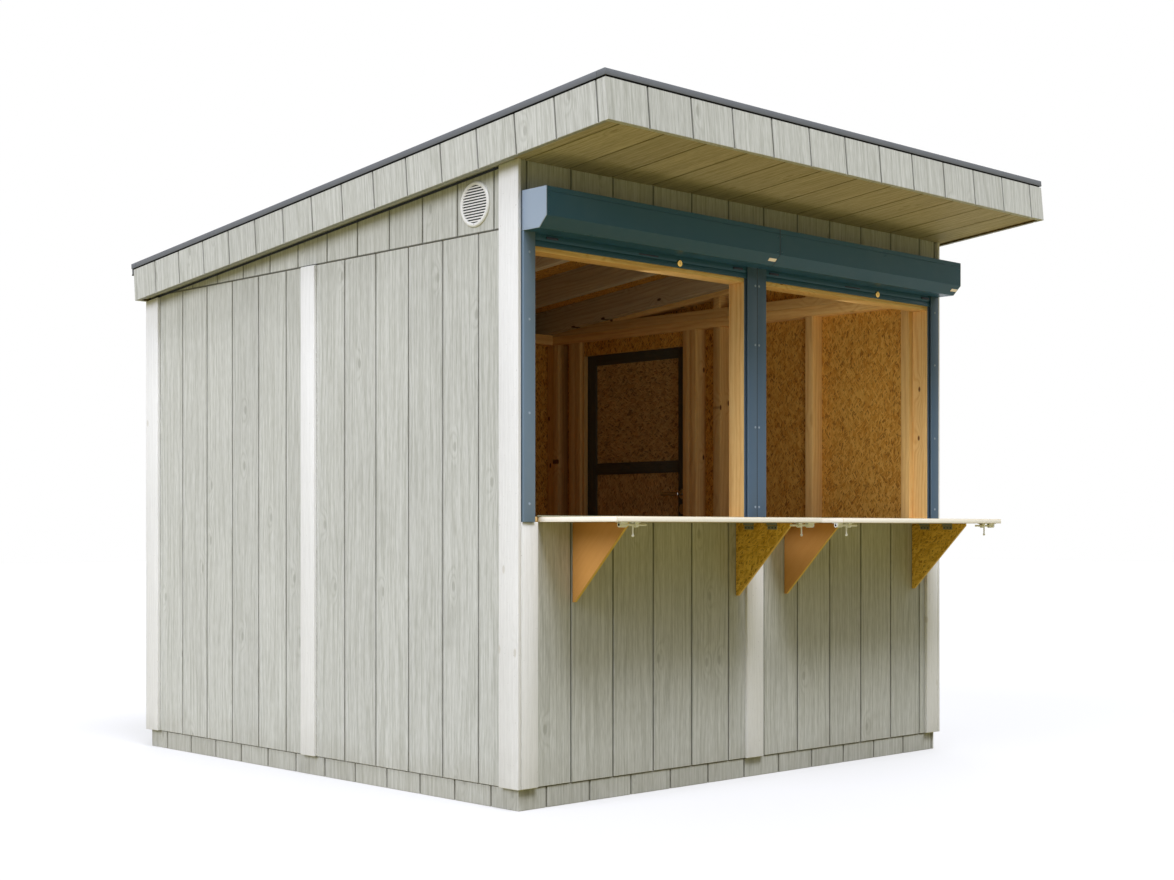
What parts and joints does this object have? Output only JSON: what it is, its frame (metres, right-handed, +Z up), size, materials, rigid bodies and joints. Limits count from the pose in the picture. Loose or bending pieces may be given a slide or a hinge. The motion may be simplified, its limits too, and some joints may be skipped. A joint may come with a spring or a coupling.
{
  "type": "wooden market hut",
  "caption": "Wooden market hut with a sloping roof, serving openings under rolled-up shutters, fold-up counters on folding brackets and a side door.",
  "frame": {"origin": "on the ground in the middle of the floor plan, under the middle floor joist", "axes": "+X to the right along the serving front seen from outside, +Y from front to back, +Z up"},
  "size_m": [2.517, 3.0986, 2.4309],
  "materials": {
    "siding": "pale grey-green embossed wood grain",
    "white_board": "white painted boards",
    "timber": "planed pine",
    "strand_board": "oriented strand board",
    "roof_sheet": "dark roofing sheet",
    "roof_edge": "grey folded sheet",
    "shutter": "slate blue satin coating",
    "plywood": "pale plywood",
    "bracket_wood": "varnished sheet",
    "bolt_metal": "cream zinc coating",
    "door_black": "black satin paint",
    "handle_steel": "satin steel",
    "hinge_steel": "zinc coated steel",
    "vent_plastic": "white moulded plastic"
  },
  "bodies": {
    "hut": {"left_siding": "siding", "right_siding": "siding", "siding_over_door": "siding", "back_siding": "siding", "front_siding": "siding", "gable_siding": "siding", "plinth_boards": "siding", "fascias": "siding", "front_soffit": "siding", "edge_soffits": "siding", "corner_boards": "white_board", "centre_battens": "white_board", "floor_joists": "timber", "wall_plates": "timber", "wedge_plates": "timber", "sloping_plates": "timber", "left_studs": "timber", "right_studs": "timber", "back_studs": "timber", "front_studs": "timber", "wedge_studs": "timber", "opening_posts": "timber", "opening_head": "timber", "opening_sills": "timber", "rafters": "timber", "door_stops": "timber", "floor_deck": "strand_board", "roof_deck": "strand_board", "roof_cover": "roof_sheet", "roof_trim": "roof_edge", "shutter_boxes": "shutter", "guide_rails": "shutter", "shutter_end_slats": "shutter", "hinge_halves_wall": "hinge_steel", "counter_hinge_barrels": "hinge_steel", "vent_grille": "vent_plastic"},
    "door": {"door_stiles": "door_black", "door_rails": "door_black", "door_panels": "strand_board", "door_cladding": "siding", "hinge_halves_door": "hinge_steel"},
    "door_handle": {"door_handle": "handle_steel"},
    "counter_left": {"counter_left": "plywood", "counter_ironwork_left": "hinge_steel", "bolt_guides_left": "bolt_metal"},
    "counter_right": {"counter_right": "plywood", "counter_ironwork_right": "hinge_steel", "bolt_guides_right": "bolt_metal"},
    "bracket_1": {"bracket_1": "bracket_wood"},
    "bracket_2": {"bracket_2": "bracket_wood"},
    "bracket_3": {"bracket_3": "bracket_wood"},
    "bracket_4": {"bracket_4": "bracket_wood"},
    "bolt_1": {"counter_bolt_1": "bolt_metal"},
    "bolt_2": {"counter_bolt_2": "bolt_metal"},
    "bolt_3": {"counter_bolt_3": "bolt_metal"},
    "bolt_4": {"counter_bolt_4": "bolt_metal"}
  },
  "joints": [
    {"name": "door_swing", "type": "hinge", "parent": "hut", "child": "door", "pos_m": [1.203, 0.961, 0.984], "axis": [0, 0, 1], "range_deg": [0, 105]},
    {"name": "handle_turn", "type": "hinge", "parent": "door", "child": "door_handle", "pos_m": [1.169, 0.249, 1.14], "axis": [-1, 0, 0], "range_deg": [0, 40], "stiffness_Nm_per_rad": 2},
    {"name": "counter_left_fold", "type": "hinge", "parent": "hut", "child": "counter_left", "pos_m": [-0.587, -1.267, 1.008], "axis": [-1, 0, 0], "range_deg": [0, 90]},
    {"name": "counter_right_fold", "type": "hinge", "parent": "hut", "child": "counter_right", "pos_m": [0.587, -1.267, 1.008], "axis": [-1, 0, 0], "range_deg": [0, 90]},
    {"name": "bracket_1_fold", "type": "hinge", "parent": "counter_left", "child": "bracket_1", "pos_m": [-0.9355, -1.4075, 0.982], "axis": [0, -1, 0], "range_deg": [0, 90]},
    {"name": "bracket_2_fold", "type": "hinge", "parent": "counter_left", "child": "bracket_2", "pos_m": [-0.1075, -1.4075, 0.982], "axis": [0, 1, 0], "range_deg": [0, 90]},
    {"name": "bracket_3_fold", "type": "hinge", "parent": "counter_right", "child": "bracket_3", "pos_m": [0.1955, -1.4075, 0.982], "axis": [0, -1, 0], "range_deg": [0, 90]},
    {"name": "bracket_4_fold", "type": "hinge", "parent": "counter_right", "child": "bracket_4", "pos_m": [1.0165, -1.4075, 0.982], "axis": [0, 1, 0], "range_deg": [0, 90]},
    {"name": "bolt_1_slide", "type": "slide", "parent": "counter_left", "child": "bolt_1", "axis": [-1, 0, 0], "range_m": [0, 0.02]},
    {"name": "bolt_2_slide", "type": "slide", "parent": "counter_left", "child": "bolt_2", "axis": [1, 0, 0], "range_m": [0, 0.02]},
    {"name": "bolt_3_slide", "type": "slide", "parent": "counter_right", "child": "bolt_3", "axis": [-1, 0, 0], "range_m": [0, 0.02]},
    {"name": "bolt_4_slide", "type": "slide", "parent": "counter_right", "child": "bolt_4", "axis": [1, 0, 0], "range_m": [0, 0.02]}
  ]
}
